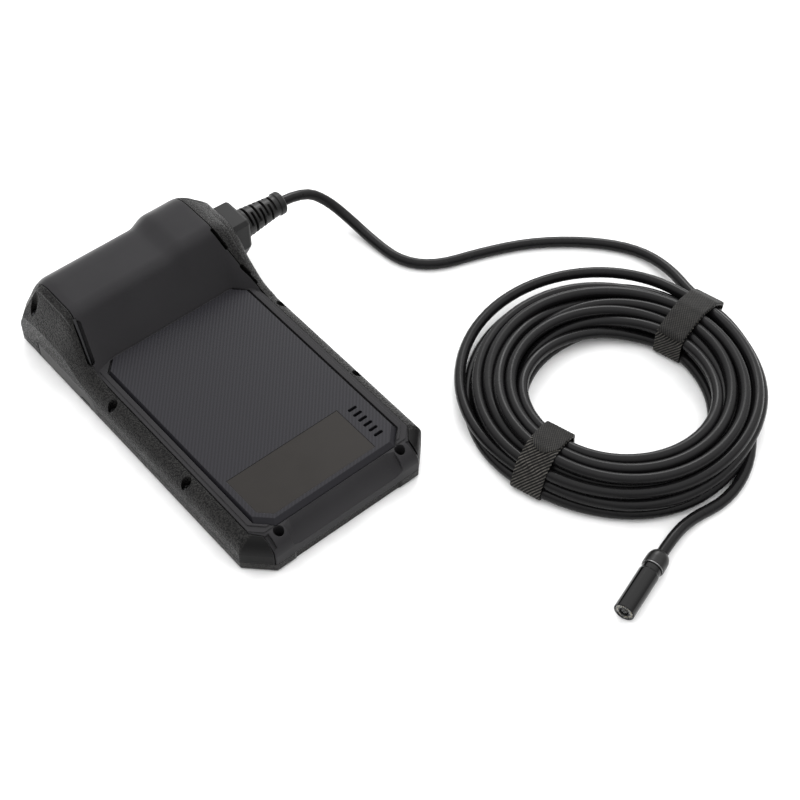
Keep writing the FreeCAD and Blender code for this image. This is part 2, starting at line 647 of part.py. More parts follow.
def battery_cell():
    x0, x1 = CELL_X
    body = Part.makeCylinder(CELL_R, x1 - x0, V(x0, CELL_Y, CELL_Z), V(1, 0, 0))
    groove = Part.makeTorus(CELL_R + 0.6, 1.0, V(x1 - 2.6, CELL_Y, CELL_Z), V(1, 0, 0))
    cap = Part.makeCylinder(3.0, 1.0, V(x1, CELL_Y, CELL_Z), V(1, 0, 0))
    return body.cut(groove).fuse(cap)


def battery_cradle():
    x0, x1 = CELL_X
    base = box(x0 - 1.2, x1 + 3.2, CELL_Y - 9.5, CELL_Y + 9.5, 11.2, CELL_Z - 3.0)
    bed = Part.makeCylinder(CELL_R + 0.15, x1 - x0 + 3.6, V(x0 - 0.4, CELL_Y, CELL_Z), V(1, 0, 0))
    relief = box(x0 + 4, x1 - 4, CELL_Y - 5, CELL_Y + 5, 5, CELL_Z)
    ends = (x0 - 0.9, x1 + 3.4)
    walls = [box(x - 0.6, x + 0.6, CELL_Y - 7.5, CELL_Y + 7.5, 12, CELL_Z + 4.0) for x in ends]
    foot_z = KEY_BOARD_Z + KEY_BOARD_T
    feet = [box(x, x + 4.0, CELL_Y - 9.5, CELL_Y + 9.5, foot_z, 12) for x in (x0, x1 - 3.0)]
    return base.cut(bed).cut(relief).fuse(walls + feet)


def battery_contacts():
    """A leaf spring at each end of the cell."""
    x0, x1 = CELL_X
    minus = box(x0 - 0.3, x0, CELL_Y - 3, CELL_Y + 3, CELL_Z - 6, CELL_Z + 3)
    plus = [box(x1 + 1.0, x1 + 1.35, CELL_Y - 3, CELL_Y + 3, CELL_Z - 6, CELL_Z + 3),
            box(x1 + 1.2, x1 + 2.8, CELL_Y - 3, CELL_Y + 3, CELL_Z - 6, CELL_Z - 5.6)]
    return Part.makeCompound([minus, plus[0].fuse(plus[1])])


# ---- fasteners ----
def screws():
    """Eight self-tapping pan heads with a cross recess, each its own solid."""
    made = []
    for x, y, seat in SCREWS:
        top = seat + 1.3
        body = turned([(0, 1.9), (SHANK_R - 0.35, 1.9), (SHANK_R, 2.7), (SHANK_R, seat),
                       (HEAD_R, seat), (HEAD_R, top - 0.5), (HEAD_R - 0.5, top), (0, top)])
        low = top - 0.75
        arms = [box(-1.05, 1.05, -0.22, 0.22, low, top + 1), box(-0.22, 0.22, -1.05, 1.05, low, top + 1)]
        body = body.cut(arms[0].fuse(arms[1]))
        body.rotate(V(0, 0, 0), V(0, 0, 1), 17 * len(made))
        body.translate(V(x, y, 0))
        made.append(body)
    return Part.makeCompound(made)


def strap_bar(gap):
    """Steel bar along the left slot, for a wrist strap; its ends sit in holes in the slot's ends."""
    a, b = LEFT_SLOT
    along = (b - a).normalize()
    beside = along.cross(LEFT_SLOT_OUT).normalize()
    start = a - along * BAR_GRIP - LEFT_SLOT_OUT * BAR_DEPTH + beside * BAR_SHIFT
    return Part.makeCylinder(BAR_R + gap, (b - a).Length + 2 * BAR_GRIP, start, along)


def seam_gasket():
    ring = prism(plan(0.7), BEZEL_TOP, SHELL_Z).cut(prism(plan(WALL), BEZEL_TOP - 1, SHELL_Z + 1))
    posts = [cylinder(SHANK_R + 0.3, x, y, BEZEL_TOP - 1, SHELL_Z + 1) for x, y, seat in SCREWS]
    dent = box(-25.6, 25.6, -HALF_L, -HALF_L + 1.3, BEZEL_TOP - 1, SHELL_Z + 1)
    return ring.cut(posts + [dent, flap_space(0.15)])


# ---- back panel ----
def back_panel():
    foot = wire([(x, y, PANEL_BOTTOM) for x, y in panel_points(PANEL_HALF, PANEL_NEAR - 1.9, PANEL_FAR)])
    waist = wire([(x, y, PANEL_Z - 1.6) for x, y in panel_points(PANEL_HALF, PANEL_NEAR - 1.9, PANEL_FAR)])
    top = wire([(x, y, PANEL_Z) for x, y in panel_points(PANEL_HALF - 0.9, PANEL_NEAR, PANEL_FAR - 0.1)])
    plate = Part.makeLoft([foot, waist, top], True, True)
    slots = [
        rounded_box(VENT_X[0], VENT_X[1], y - VENT_W / 2, y + VENT_W / 2, PANEL_BOTTOM - 1, 22, 0.6)
        for y in VENT_YS
    ]
    return plate.cut(prism(label_points(0.1), PANEL_Z - 0.4, 22)).cut(slots)


def label_points(gap):
    x0, x1, y0, y1 = LABEL
    cut = 4.6
    return [(x0 - gap + cut, y0 - gap), (x1 + gap, y0 - gap), (x1 + gap, y1 + gap), (x0 - gap, y1 + gap),
            (x0 - gap, y0 - gap + cut)]


def label_plate():
    return prism(label_points(0), PANEL_Z - 0.4, PANEL_Z - 0.12)


# ---- cable outlet ----
def gland_section(x, grow):
    half = [(6.9, 8.8), (8.4, 7.3), (8.4, -5.3), (4.2, -13.4)]
    pts = half + [(-y, z) for y, z in reversed(half)]
    return wire([(x, GLAND_Y + y * grow, GLAND_Z + z * grow) for y, z in pts])


def gland_space():
    """The housing is cut back a little round the gland's foot."""
    x0, x1 = GLAND_X
    return Part.makeLoft([gland_section(x0 - 4.7, 1.05), gland_section(x1, 1.05)], True, True)


def gland_block():
    x0, x1 = GLAND_X
    stations = [(x0 - 4.5, 1.03), (x1 - 1.0, 1.0), (x1, 0.93)]
    block = Part.makeLoft([gland_section(x, grow) for x, grow in stations], True, True)
    bore = Part.makeCylinder(CABLE_D / 2 + 0.1, 30, V(x0 - 15, GLAND_Y, GLAND_Z), V(1, 0, 0))
    seat = Part.makeCylinder(5.0, 2.0, V(x1 - 2.0, GLAND_Y, GLAND_Z), V(1, 0, 0))
    spigot = Part.makeCylinder(SPIGOT_R, 9.0, V(x0 - 13.0, GLAND_Y, GLAND_Z), V(1, 0, 0))
    return block.fuse(spigot).cut([bore, seat])


def gland_nut():
    """Hexagon nut that pulls the gland against the housing from inside."""
    corners = [math.radians(60 * i) for i in range(6)]
    hexagon = [(GLAND_Y + NUT_R * math.cos(a), GLAND_Z + NUT_R * math.sin(a)) for a in corners]
    nut = prism_along_x(hexagon, *NUT_X)
    return nut.cut(Part.makeCylinder(SPIGOT_R, 10, V(NUT_X[0] - 2, GLAND_Y, GLAND_Z), V(1, 0, 0)))


def cable_plug():
    """The cable's inner end: a flat plug and the stub of cable that feeds it."""
    stub = Part.makeCylinder(CABLE_D / 2, RELIEF_X[1] - 27.9, V(27.6, GLAND_Y, GLAND_Z), V(1, 0, 0))
    plug = box(25.6, 29.0, GLAND_Y - 4.5, GLAND_Y + 4.5, GLAND_Z - 3.0, GLAND_Z + 3.0)
    return stub.fuse(plug)


def strain_relief():
    """Tapered rubber boot with slots cut half way round in turn, so that it bends."""
    x0, x1 = RELIEF_X
    length = x1 - x0
    base_r, tip_r = 6.3, 4.6
    core_r = 3.3
    profile = [(0, -1.8), (4.9, -1.8), (4.9, 0), (base_r, 0), (base_r, 1.6)]
    profile += [(tip_r, length - 3.6), (tip_r, length - 3.0), (tip_r + 0.5, length - 2.6)]
    profile += [(tip_r + 0.5, length - 0.6), (tip_r, length), (0, length)]
    boot = turned(profile, V(x0, GLAND_Y, GLAND_Z), V(1, 0, 0))
    cuts = []
    first, pitch, width = 2.4, 2.15, 1.15
    for i in range(7):
        at = V(x0 + first + pitch * i, GLAND_Y, GLAND_Z)
        ring = turned([(core_r, 0), (9, 0), (9, width), (core_r, width)], at, V(1, 0, 0))
        bar = box(x0, x1, GLAND_Y - 9, GLAND_Y + 9, GLAND_Z - 1.7, GLAND_Z + 1.7)
        if i % 2:
            bar.rotate(V(x0, GLAND_Y, GLAND_Z), V(1, 0, 0), 90)
        cuts.append(ring.cut(bar))
    bore = Part.makeCylinder(CABLE_D / 2 + 0.05, length + 4, V(x0 - 2, GLAND_Y, GLAND_Z), V(1, 0, 0))
    return boot.cut(cuts).cut(bore)


# ---- cable ----
def tube_along(route, name):
    """A round tube along straight runs, with an arc at each corner, and its length."""
    edges = []
    length = 0.0
    radii = []
    at = route[0]
    for before, corner, after in zip(route, route[1:], route[2:]):
        into, out = corner - before, after - corner
        turn = into.getAngle(out)
        short = min(into.Length, out.Length)
        r = 0.45 * short / math.tan(turn / 2)
        radii.append(r)
        into.normalize()
        out.normalize()
        start = corner - into * (0.45 * short)
        end = corner + out * (0.45 * short)
        centre_way = (out - into).normalize()
        mid = corner + centre_way * (r / math.cos(turn / 2) - r)
        edges.append(Part.LineSegment(at, start).toShape())
        edges.append(Part.Arc(start, mid, end).toShape())
        length += (start - at).Length + r * turn
        at = end
    edges.append(Part.LineSegment(at, route[-1]).toShape())
    length += (route[-1] - at).Length
    path = Part.Wire(edges)
    ring = Part.Wire(Part.makeCircle(CABLE_D / 2, route[0], route[1] - route[0]))
    tube = path.makePipeShell([ring], True, True)
    section = math.pi * CABLE_D ** 2 / 4
    print(name, "length %.1f" % length, "volume ratio %.4f" % (tube.Volume / (section * length)))
    print(name, "bend radii", ["%.0f" % r for r in radii])
    return tube


def cable_coil():
    """The outer shape of the hank of turns: a ring with a rounded section."""
    z0 = TIE_T + TIE_GAP
    section = box(COIL_X + COIL_IN, COIL_X + COIL_OUT, COIL_Y, COIL_Y + 1, z0, COIL_H)
    edges = [e for e in section.Edges if abs(e.tangentAt(e.FirstParameter).y) > 0.9]
    section = section.makeFillet(6.0, edges)
    face = [f for f in section.Faces if abs(f.CenterOfMass.y - COIL_Y) < 1e-6][0]
    return face.revolve(V(COIL_X, COIL_Y, 0), V(0, 0, 1), 360)


def coil_tie(place, turn, room):
    """A flat strap round the coil, with its overlapping end on top."""
    inner = COIL_IN - COIL_R - TIE_CLEAR
    outer = COIL_OUT - COIL_R + room
    loops = []
    for grow, half in ((TIE_T, TIE_W / 2), (0.0, TIE_W)):
        ring = box(inner - grow, outer + grow, -half, half, TIE_T - grow, COIL_H + TIE_GAP + grow)
        along = [e for e in ring.Edges if abs(e.tangentAt(e.FirstParameter).y) > 0.9]
        loops.append(ring.makeFillet(5.0 + grow, along))
    strap = loops[0].cut(loops[1])
    top = COIL_H + TIE_GAP + TIE_T
    end = rounded_box(inner + 6, outer - 6.5, -TIE_W / 2 + 0.2, TIE_W / 2 - 0.2, top - 0.1, top + 0.9, 3.0)
    strap = strap.fuse(end)
    strap.rotate(V(0, 0, 0), V(0, 0, 1), turn)
    strap.translate(V(COIL_R, 0, 0))
    strap.rotate(V(0, 0, 0), V(0, 0, 1), place)
    strap.translate(V(COIL_X, COIL_Y, 0))
    return strap


# ---- probe, drawn along +Z from its lens face and then laid down ----
def laid(shape):
    shape.Placement = FreeCAD.Placement(PROBE_TIP, FreeCAD.Rotation(V(0, 0, 1), PROBE_DIR)) * shape.Placement
    return shape


def probe_pieces():
    r = PROBE_D / 2
    bore = r - 0.5
    neck = r - 0.25
    tube = turned([(bore, 0.0), (r - 0.2, 0), (r, 0.2), (r, TUBE_L - 3.4), (neck, TUBE_L - 2.9),
                   (neck, TUBE_L), (bore, TUBE_L)])
    ring_z = TUBE_L - 0.5
    ring = turned([(neck, ring_z), (COLLAR_R - 0.1, ring_z), (COLLAR_R - 0.1, TUBE_L), (neck, TUBE_L)])
    dome = []
    for i in range(7):
        a = math.radians(15 * i)
        dome.append((2.5 + (COLLAR_R - 2.5) * math.cos(a), CAP_END - 3.6 + 3.6 * math.sin(a)))
    collar = turned([(0, TUBE_L), (COLLAR_R, TUBE_L)] + dome + [(0, CAP_END)])
    led_board = turned([(LENS_R + 0.45, 1.3), (bore, 1.3), (bore, 2.1), (LENS_R + 0.45, 2.1)])
    leds = []
    for i in range(8):
        led = box(2.45, 3.15, -0.75, 0.75, 0.75, 1.3)
        led.rotate(V(0, 0, 0), V(0, 0, 1), 45 * i)
        leds.append(led)
    rim = LENS_R + 0.45
    window = turned([(rim, 0.15), (bore, 0.15), (bore, 0.65), (rim, 0.65)])
    barrel = turned([(LENS_R, 0.1), (rim, 0.1), (rim, 6.0), (LENS_R, 6.0)])
    lens = turned([(0, 0.25), (0.6, 0.3), (1.2, 0.5), (LENS_R, 0.8), (LENS_R, 2.2), (0, 2.2)])
    sensor = box(-2.0, 2.0, -2.0, 2.0, 6.0, 7.4)
    return {
        "probe_tube": tube, "probe_ring": ring, "probe_collar": collar,
        "led_board": led_board, "probe_leds": Part.makeCompound(leds), "probe_window": window,
        "lens_barrel": barrel, "probe_lens": lens, "image_sensor": sensor,
    }


def main():
    os.makedirs("parts", exist_ok=True)
    outline = prism(plan(0), SHELL_Z, 60)
    smooth = lower_form().fuse([deck(), hump()]).common(outline)
    left = cheek(-1, 37.2, LEFT_CHEEK, LEFT_GROWTH)
    right = cheek(1, 40.4, RIGHT_CHEEK, RIGHT_GROWTH)
    form = smooth.fuse([left, right]).common(outline)
    print("outer form", form.isValid(), len(form.Solids))
    pieces = {
        "rear_housing": rear_housing(form),
        "centre_cover": centre_cover(smooth),
        "back_panel": back_panel(),
        "label_plate": label_plate(),
        "vent_mesh": vent_mesh(),
        "front_bezel": bezel(),
        "screen_glass": screen_glass(),
        "display_module": display(),
        "display_gasket": display_gasket(),
        "seam_gasket": seam_gasket(),
        "housing_screws": screws(),
        "port_flap": port_flap(),
        "strap_bar": strap_bar(0),
        "main_board": main_board(),
        "side_board": side_board(),
        "usb_socket": usb_socket(),
        "card_socket": card_socket(),
        "key_board": key_board(),
        "key_mat": key_mat(),
        "speaker": speaker(),
        "battery_cell": battery_cell(),
        "battery_cradle": battery_cradle(),
        "battery_contacts": battery_contacts(),
        "gland_block": gland_block(),
        "gland_nut": gland_nut(),
        "strain_relief": strain_relief(),
        "cable_plug": cable_plug(),
        "cable_lead": tube_along(LEAD_ROUTE, "lead"),
        "cable_coil": cable_coil(),
        "cable_tail": tube_along(TAIL_ROUTE, "tail"),
    }
    for name, (x, y, r) in KEYS.items():
        pieces[name] = key(x, y, r)
    for name, (place, turn, room) in TIES.items():
        pieces[name] = coil_tie(place, turn, room)
    for name, shape in probe_pieces().items():
        pieces[name] = laid(shape)
    for name, shape in pieces.items():
        export(shape, name)


main()
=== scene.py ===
import json
import math

import bpy
import numpy as np
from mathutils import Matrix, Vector


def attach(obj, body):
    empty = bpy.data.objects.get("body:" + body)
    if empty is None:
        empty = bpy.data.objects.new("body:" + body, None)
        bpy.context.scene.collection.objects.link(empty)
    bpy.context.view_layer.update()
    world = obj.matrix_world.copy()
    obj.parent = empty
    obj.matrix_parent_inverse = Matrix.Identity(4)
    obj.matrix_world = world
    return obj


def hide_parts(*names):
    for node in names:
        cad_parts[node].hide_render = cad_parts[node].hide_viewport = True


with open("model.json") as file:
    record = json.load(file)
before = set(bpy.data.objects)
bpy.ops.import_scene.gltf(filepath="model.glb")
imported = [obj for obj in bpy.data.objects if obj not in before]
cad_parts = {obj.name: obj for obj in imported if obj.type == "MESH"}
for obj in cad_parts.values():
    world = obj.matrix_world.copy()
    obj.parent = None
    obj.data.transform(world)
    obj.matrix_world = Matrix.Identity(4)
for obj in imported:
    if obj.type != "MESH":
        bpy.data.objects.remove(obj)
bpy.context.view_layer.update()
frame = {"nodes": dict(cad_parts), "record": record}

# An inspection camera lying on its screen, with its probe cable in a tied coil beside it.
# Metres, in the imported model's frame. Lengths written with MM are millimetres.
MM = 0.001
NODES = frame["nodes"]
SCENE = bpy.context.scene


# ---- camera ----
EYE = Vector((-0.2206, -0.3694, 0.5139))
AIM = Vector((0.0523, -0.0468, 0.0))


def make_camera():
    data = bpy.data.cameras.new("view")
    data.lens = 76.5
    data.sensor_width = 36.0
    data.clip_start = 0.01
    camera = bpy.data.objects.new("view", data)
    camera.location = EYE
    camera.rotation_euler = (AIM - EYE).to_track_quat("-Z", "Y").to_euler()
    SCENE.collection.objects.link(camera)
    SCENE.camera = camera


# ---- cable ----
CABLE_D = 4.5
FLOOR = CABLE_D / 2
COIL_X, COIL_Y = 115.0, -102.0
TURNS = 16
PER_TURN = 24
STEP = 2 * math.pi / PER_TURN
FIRST_AZ = math.radians(15)
PROBE_TIP = Vector((47.6, -174.25, 4.3))
PROBE_TURN = math.radians(17.35)
PROBE_DIR = Vector((math.cos(PROBE_TURN), math.sin(PROBE_TURN), 0))
CAP_END = 29.0
TAIL_END = PROBE_TIP + PROBE_DIR * CAP_END
LEAD_ROUTE = [
    (72.4, 53.7, 20.5),
    (84.0, 53.7, 19.4),
    (93.0, 50.0, 12.0),
    (97.8, 40.5, 4.8),
    (98.6, 26.0, FLOOR),
    (99.6, 9.0, FLOOR),
    (109.2, -2.7, FLOOR),
    (128.6, -9.0, FLOOR),
    (149.8, -18.6, FLOOR),
    (168.9, -34.4, FLOOR),
    (180.0, -50.6, 2.6),
    (181.4, -67.2, 3.8),
]
TAIL_ROUTE = [
    (145.0, -146.0, 4.4),
    (130.5, -158.4, 3.0),
    (113.0, -163.8, FLOOR),
    (96.5, -160.7, FLOOR),
    tuple(TAIL_END + PROBE_DIR * 9.5),
    tuple(TAIL_END),
]
# Radius and height of the lead at the coil's first places, where it passes under the upper tie.
LEAD_IN = [(62.6, 5.6), (60.4, 6.6)]
# How far the first turn stands off the others where no tie holds it.
LOOSE = 7.0
# How far the upper turns part into two groups on the near side.
VALLEY = 1.8
# Where the hole's edge stands further out: by how many mm, round which azimuth, and how far each way.
INNER_BULGES = [(2.6, 142, 40), (1.2, -70, 60), (1.2, 190, 14), (1.4, 8, 18)]


def bump(az, centre, half):
    """1 at the centre angle, falling smoothly to 0 at half degrees from it."""
    away = np.abs((np.degrees(az) - centre + 180) % 360 - 180)
    return 0.5 + 0.5 * np.cos(np.pi * np.clip(away / half, 0, 1))


def coil_line():
    """The coil's points as angle and (radius, height): eight turns wound inwards over eight wound outwards.

    Also gives the radius each point keeps to, how strongly, and the smallest and largest that it may have.
    """
    index = np.arange(PER_TURN * TURNS + 5)
    az = FIRST_AZ - STEP * index
    turn = index / PER_TURN
    half = TURNS / 2
    first = turn < 1
    tied = np.maximum(bump(az, 8, 60), bump(az, 188.5, 60))
    inner = 35.6 - 0.7 * np.cos(az) - 3.3 * np.sin(az)
    inner += sum(size * bump(az, centre, half_width) for size, centre, half_width in INNER_BULGES)
    waves = 1.4 * np.cos(4 * az - math.radians(264)) * bump(az, 255, 130)
    outer = 56.5 + 1.2 * np.cos(az) + 1.8 * np.sin(az) + waves + 0.8 * bump(az, 165, 40)
    loose = np.where(first, LOOSE * bump(az, 78, 112) - 2.2 * bump(az, 182, 40), 0)
    outer -= 2.0 * bump(az, 8, 24) + np.where(turn > TURNS - 0.6, 2.6 * bump(az, -35, 45), 0)
    width = outer - inner
    way = np.where(turn < half, (half - turn) / (half - 1), (turn - half) / half)
    target = inner + loose + (width - np.where(first | (turn > half), 0, 3.5)) * np.clip(way, 0, 1)
    target += np.where(first, 0, 1.5 * np.sin(2 * math.pi * 0.39 * turn) * (1 - tied))
    valley = VALLEY * bump(az, -80, 75) * np.sign(target - inner - 0.5 * width)
    target += np.where((turn < half) & ~first, valley, 0)
    squeeze = np.clip((28 - width) / 10, 0, 1)
    height = FLOOR + np.where(turn < half, 5.5, 0) + 2.2 * squeeze * np.where(np.floor(turn) % 2, 1, -1)
    return az, np.stack([target, height], 1), np.where(first, 0.25, 0.02), inner, outer + loose


def settled():
    """Lets the turns push each other apart and sink, with the ties holding them."""
    az, line, hold, inner, outer = coil_line()
    target = line[:, 0].copy()
    start = np.array(LEAD_IN)
    tied = np.maximum(bump(az, 8, 25), bump(az, 188.5, 25))
    lowest = FLOOR + 1.3 * tied
    for step in range(500):
        line[:, 0] += hold * (target - line[:, 0])
        line[:, 1] -= 0.05
        line[1:-1] += 0.2 * (line[:-2] + line[2:] - 2 * line[1:-1])
        for lag in range(PER_TURN, len(line), PER_TURN):
            gap = line[lag:] - line[:-lag]
            far = np.maximum(np.linalg.norm(gap, axis=1), 1e-6)
            push = gap * (np.clip(CABLE_D - far, 0, None) / far / 2)[:, None]
            line[lag:] += push
            line[:-lag] -= push
        line[:, 0] += 0.5 * (np.clip(line[:, 0], inner, outer) - line[:, 0])
        line[:, 1] = np.maximum(line[:, 1], lowest)
        line[: len(start)] = start
    return az, line


def make_cable():
    az, line = settled()
    cut = (3 + math.cos(STEP)) / 4
    turns = [
        (COIL_X + r / cut * math.cos(a), COIL_Y + r / cut * math.sin(a), z)
        for a, (r, z) in zip(az, line)
    ]
    data = bpy.data.curves.new("probe_cable", "CURVE")
    data.dimensions = "3D"
    data.bevel_depth = 1.0
    data.bevel_resolution = 8
    data.resolution_u = 4
    data.use_fill_caps = True
    spline = data.splines.new("NURBS")
    points = LEAD_ROUTE + turns + TAIL_ROUTE
    spline.points.add(len(points) - 1)
    for point, place in zip(spline.points, points):
        point.co = (*[x * MM for x in place], 1)
        point.radius = CABLE_D / 2 * MM
    spline.order_u = 3
    spline.use_endpoint_u = True
    cable = bpy.data.objects.new("probe_cable", data)
    SCENE.collection.objects.link(cable)
    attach(cable, "camera")
    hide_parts("cable_lead", "cable_coil", "cable_tail")
    return cable


# ---- straps round the coil ----
# Each strap: its place round the coil, its middle's radius, its heading and its width at the inner
# and outer end; then where its overlapping layer starts and ends, as shares of the way round, and
# how round that layer's ends are.
STRAPS = {
    "coil_tie_upper": dict(
        az=8.0, radius=47.2, heading=13.1, inner=11.6, outer=12.6, lap=(0.14, 0.62), end=1.0,
    ),
    "coil_tie_lower": dict(
        az=188.5, radius=45.2, heading=195.6, inner=11.8, outer=12.6, lap=(0.08, 0.4), end=5.8,
    ),
}
STRAP_T = 0.9
LAP_T = 0.55
# The overlapping layer is narrower by this on each side, and its ribs are this much lower.
LAP_INSET = 0.2
LAP_RIBS = 0.35
# Points round a strap, and faces across it.
ROUND = 320
ROWS = 44
RIB_PITCH = 1.05
RIB_H = 0.16
RIB_SLANT = 50.0
# Added to the cloth map on the overlapping layer, so that its finer weave can be told from the band's.
LAP_MARK = 1.0


def cable_points(cable):
    """The cable's centreline in mm, as its spline gives it."""
    data = cable.data.copy()
    data.bevel_depth = 0
    bare = bpy.data.objects.new("line", data)
    SCENE.collection.objects.link(bare)
    bpy.context.view_layer.update()
    mesh = bpy.data.meshes.new_from_object(bare)
    points = np.array([v.co[:] for v in mesh.vertices]) / MM
    bpy.data.objects.remove(bare)
    bpy.data.meshes.remove(mesh)
    bpy.data.curves.remove(data)
    return points


def hull(points):
    """The convex outline of points in a plane, anticlockwise."""
    points = sorted(map(tuple, points))
    loops = []
    for run in (points, points[::-1]):
        chain = []
        for p in run:
            while len(chain) > 1:
                (ax, ay), (bx, by) = chain[-2:]
                if (bx - ax) * (p[1] - ay) - (by - ay) * (p[0] - ax) > 0:
                    break
                chain.pop()
            chain.append(p)
        loops += chain[:-1]
    return np.array(loops)


# How far either side of a strap's middle its strands can lie.
COIL_REACH = 26


def strap_outline(line, spot, along, across, half, room):
    """The strands' outline in the strap's plane, in mm, with room round it, from the inner foot over."""
    away = line - spot
    side = away @ across
    out = away @ along
    near = (np.abs(side) < half) & (np.abs(out) < COIL_REACH)
    turns = np.linspace(0, 2 * math.pi, 24, endpoint=False)
    reach = CABLE_D / 2 + room
    rim = np.stack([np.cos(turns), np.sin(turns)], 1) * reach
    strands = np.stack([out[near], line[near, 2]], 1)
    ring = (strands[:, None] + rim[None]).reshape(-1, 2)
    ring[:, 1] = np.maximum(ring[:, 1], STRAP_T)
    outline = hull(ring)[::-1]
    first = np.argmin(outline[:, 0] + outline[:, 1])
    return np.roll(outline, -first, axis=0)


def even(outline, count):
    """Points an even way apart round a closed outline, its corners smoothed, with the outline's length."""
    closed = np.vstack([outline, outline[:1]])
    reach = np.concatenate([[0], np.cumsum(np.linalg.norm(np.diff(closed, axis=0), axis=1))])
    at = np.linspace(0, reach[-1], count, endpoint=False)
    points = np.stack([np.interp(at, reach, closed[:, k]) for k in (0, 1)], 1)
    for step in range(6):
        points = 0.5 * points + 0.25 * (np.roll(points, 1, 0) + np.roll(points, -1, 0))
    return points, reach[-1]


def rib_height(s_at, w):
    """The height of the strap's slanting ribs, s_at mm round it and w mm across."""
    slant = math.radians(RIB_SLANT)
    phase = s_at * math.cos(slant) + w * math.sin(slant)
    return RIB_H * (0.5 + 0.5 * math.sin(2 * math.pi * phase / RIB_PITCH))


def strap_mesh(name, cable, az, radius, heading, inner, outer, lap, end):
    """The band and its overlapping layer as one mesh, with the outline's length."""
    line = cable_points(cable)
    place = math.radians(az)
    turn = math.radians(heading)
    spot = np.array([COIL_X + radius * math.cos(place), COIL_Y + radius * math.sin(place), 0])
    along = np.array([math.cos(turn), math.sin(turn), 0])
    across = np.array([-math.sin(turn), math.cos(turn), 0])
    outline, length = even(strap_outline(line, spot, along, across, outer / 2, 0.15), ROUND)
    step = np.roll(outline, -1, 0) - np.roll(outline, 1, 0)
    normal = np.stack([-step[:, 1], step[:, 0]], 1)
    normal /= np.linalg.norm(normal, axis=1)[:, None]
    low, high = outline[:, 0].min(), outline[:, 0].max()
    mesh = bpy.data.meshes.new(name)
    verts, faces, spots = [], [], []

    def layer(first, last, floor_h, thick, shape_end):
        """One layer from first to last round the outline; a layer that isn't closed has round ends."""
        closed = last - first >= len(outline)
        base = len(verts)
        count = last - first + (0 if closed else 1)
        for side_up in (1, 0):
            for k in range(count):
                i = (first + k) % len(outline)
                s_at = k * length / len(outline)
                half = (inner + (outer - inner) * (outline[i, 0] - low) / (high - low)) / 2
                if not closed:
                    left = min(k, count - 1 - k) * length / len(outline)
                    curve = max(shape_end ** 2 - max(shape_end - left, 0) ** 2, 0)
                    half -= shape_end - math.sqrt(curve) + LAP_INSET
                for j in range(ROWS + 1):
                    w = half * (2 * j / ROWS - 1)
                    h = floor_h
                    if side_up:
                        fade = min(1.0, min(j, ROWS - j) / 2)
                        h += thick + rib_height(s_at, w) * (1.0 if closed else LAP_RIBS) * fade
                    q = outline[i] + normal[i] * h
                    p = spot + along * q[0] + across * w
                    verts.append((p[0] * MM, p[1] * MM, max(q[1], 0.0) * MM))
                    spots.append((s_at * MM, w * MM + (0 if closed else LAP_MARK)))
        size = count * (ROWS + 1)
        loop = count if closed else count - 1
        for k in range(loop):
            a, b = base + k * (ROWS + 1), base + ((k + 1) % count) * (ROWS + 1)
            for j in range(ROWS):
                faces.append((a + j, b + j, b + j + 1, a + j + 1))
                faces.append((size + a + j, size + a + j + 1, size + b + j + 1, size + b + j))
            faces.append((a, size + a, size + b, b))
            faces.append((a + ROWS, b + ROWS, size + b + ROWS, size + a + ROWS))
        if not closed:
            for j in range(ROWS):
                a, b = base + j, base + (count - 1) * (ROWS + 1) + j
                faces.append((a, a + 1, size + a + 1, size + a))
                faces.append((b + 1, b, size + b, size + b + 1))

    layer(0, len(outline), 0.0, STRAP_T - 0.2, 0.0)
    layer(int(lap[0] * len(outline)), int(lap[1] * len(outline)), STRAP_T - 0.1, LAP_T, end)
    mesh.from_pydata(verts, [], faces)
    cloth = mesh.uv_layers.new(name="cloth")
    for loop in mesh.loops:
        cloth.data[loop.index].uv = spots[loop.vertex_index]
    return mesh, length


def make_straps(cable):
    for name, facts in STRAPS.items():
        mesh, length = strap_mesh(name, cable, **facts)
        strap = bpy.data.objects.new(name.replace("coil_tie", "strap"), mesh)
        SCENE.collection.objects.link(strap)
        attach(strap, "camera")
        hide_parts(name)
        paint(strap, "strap_webbing")


# ---- materials ----
# Every texture is in the object's own coordinates, which are the model's frame.
MADE = {}
TREES = {}
# Lighter colour painted along edges: partly wear, partly a painted edge highlight.
EDGE_WEAR_AND_HIGHLIGHT = (0.05, 0.049, 0.05)
DUST = (0.05, 0.047, 0.043)


def material(name, colour, rough, metal=0.0, gloss=0.5, coat=0.0):
    """A new material with its even values set on the shader."""
    made = bpy.data.materials.new(name)
    made.use_nodes = True
    shader = made.node_tree.nodes["Principled BSDF"]
    shader.inputs["Base Color"].default_value = (*colour, 1)
    shader.inputs["Roughness"].default_value = rough
    shader.inputs["Metallic"].default_value = metal
    shader.inputs["Specular IOR Level"].default_value = gloss
    shader.inputs["Coat Weight"].default_value = coat
    shader.inputs["Coat Roughness"].default_value = 0.12
    MADE[name] = made
    TREES[name] = made.node_tree
    return shader


def node(name, kind, inputs, output=0, **settings):
    """Adds a node to a material. An input that is a socket is linked, and any other is set."""
    tree = TREES[name]
    made = tree.nodes.new(kind)
    for key, value in settings.items():
        setattr(made, key, value)
    for key, value in inputs.items():
        if isinstance(value, bpy.types.NodeSocket):
            tree.links.new(value, made.inputs[key])
        else:
            made.inputs[key].default_value = value
    return made.outputs[output]


def place(name, turn=0.0):
    """The point on the object, turned by some degrees about the vertical."""
    point = node(name, "ShaderNodeTexCoord", {}, output="Object")
    return node(name, "ShaderNodeMapping", {"Vector": point, "Rotation": (0, 0, math.radians(turn))})


def noise(name, size, detail=3.0):
    """Cloudy noise from 0 to 1, with patches about size mm across."""
    return node(name, "ShaderNodeTexNoise", {"Vector": place(name), "Scale": 1000 / size, "Detail": detail})


